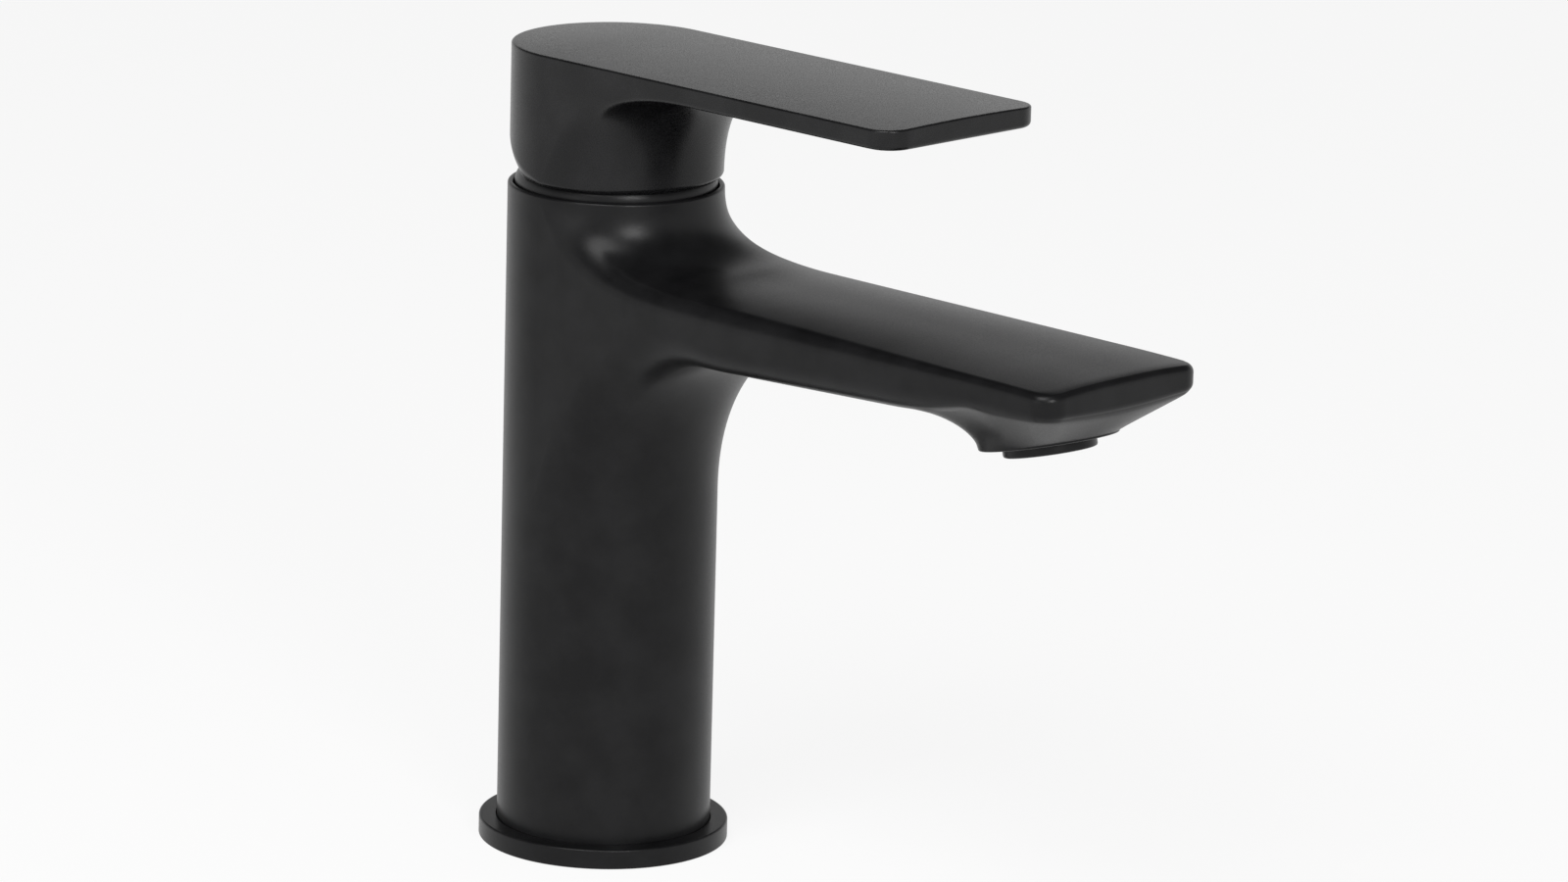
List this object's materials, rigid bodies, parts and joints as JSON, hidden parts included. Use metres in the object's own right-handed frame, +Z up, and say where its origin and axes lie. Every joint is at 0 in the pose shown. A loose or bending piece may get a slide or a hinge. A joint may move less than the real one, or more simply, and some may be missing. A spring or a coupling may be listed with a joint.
{
  "type": "basin mixer faucet",
  "caption": "Tall matt black basin mixer faucet: round column, flat spout in a swept fillet, tilted aerator and a flat lever that swings and lifts over a ceramic cartridge.",
  "frame": {"origin": "centre of the base on the deck, on the axis of the column and the lever's swing", "axes": "+Z up along the column, the spout and the closed lever point to -Y, hot is on -X"},
  "size_m": [0.0524, 0.1696, 0.1705],
  "materials": {
    "black_brass": "matt black coat over cast brass",
    "black_zinc": "matt black coat over cast zinc",
    "brass": "turned brass",
    "steel": "stainless steel",
    "rubber": "black EPDM rubber",
    "grey_plastic": "moulded grey plastic",
    "red_plastic": "moulded red plastic",
    "black_plastic": "moulded black plastic",
    "ceramic": "lapped alumina"
  },
  "bodies": {
    "faucet": {"faucet_body": "black_brass", "base_ring": "black_brass", "base_o_ring": "rubber", "base_gasket": "rubber", "cover_ring": "black_brass", "cartridge_nut": "brass", "cartridge_housing": "grey_plastic", "cartridge_base": "grey_plastic", "seal_hot": "rubber", "seal_cold": "rubber", "seal_outlet": "rubber", "fixed_disc": "ceramic", "limit_ring": "red_plastic", "aerator_housing": "black_brass", "aerator_insert": "grey_plastic", "aerator_screen": "steel", "aerator_seal": "rubber"},
    "rotor_group": {"rotor": "black_plastic", "pivot_pin": "steel"},
    "lever": {"lever_stem": "brass", "lever_handle": "black_zinc", "grub_screw": "steel", "screw_plug": "black_plastic"},
    "disc_group": {"disc_carrier": "black_plastic", "moving_disc": "ceramic"}
  },
  "joints": [
    {"name": "lever_swing", "type": "hinge", "parent": "faucet", "child": "rotor_group", "pos_m": [0, 0, 0.131], "axis": [0, 0, 1], "range_deg": [-45, 45]},
    {"name": "lever_lift", "type": "hinge", "parent": "rotor_group", "child": "lever", "pos_m": [0, 0, 0.131], "axis": [-1, 0, 0], "range_deg": [0, 12]},
    {"name": "disc_slide", "type": "slide", "parent": "rotor_group", "child": "disc_group", "axis": [0, -1, 0], "range_m": [0, 0.0026]}
  ],
  "couplings": [
    {"joint": "disc_slide", "follows": "lever_lift", "m_per_rad": 0.01205}
  ]
}
